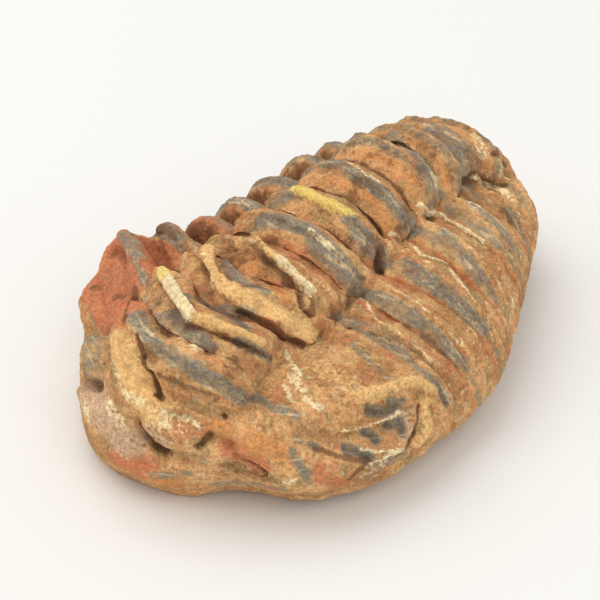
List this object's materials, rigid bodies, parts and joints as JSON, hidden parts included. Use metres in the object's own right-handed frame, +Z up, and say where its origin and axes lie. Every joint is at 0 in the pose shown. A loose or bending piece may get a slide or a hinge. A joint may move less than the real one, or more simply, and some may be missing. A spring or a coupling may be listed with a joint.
{
  "type": "trilobite fossil",
  "caption": "Loose fossil trilobite in brown ironstone: humped ringed body with ribbed sides, head folded down in front, cheek and face lobes, flat worn underside.",
  "frame": {"origin": "centre of the body's plan outline, on the plane it rests on", "axes": "+Y along the body from the head to the tail, +X across it to the flank whose cheek is whole, +Z up"},
  "size_m": [0.0556, 0.0788, 0.0262],
  "materials": {
    "fossil_stone": "matt, grainy rust-brown ironstone with tan and blue-grey shell remains"
  },
  "bodies": {
    "root": {"trilobite_fossil": "fossil_stone"}
  },
  "joints": []
}
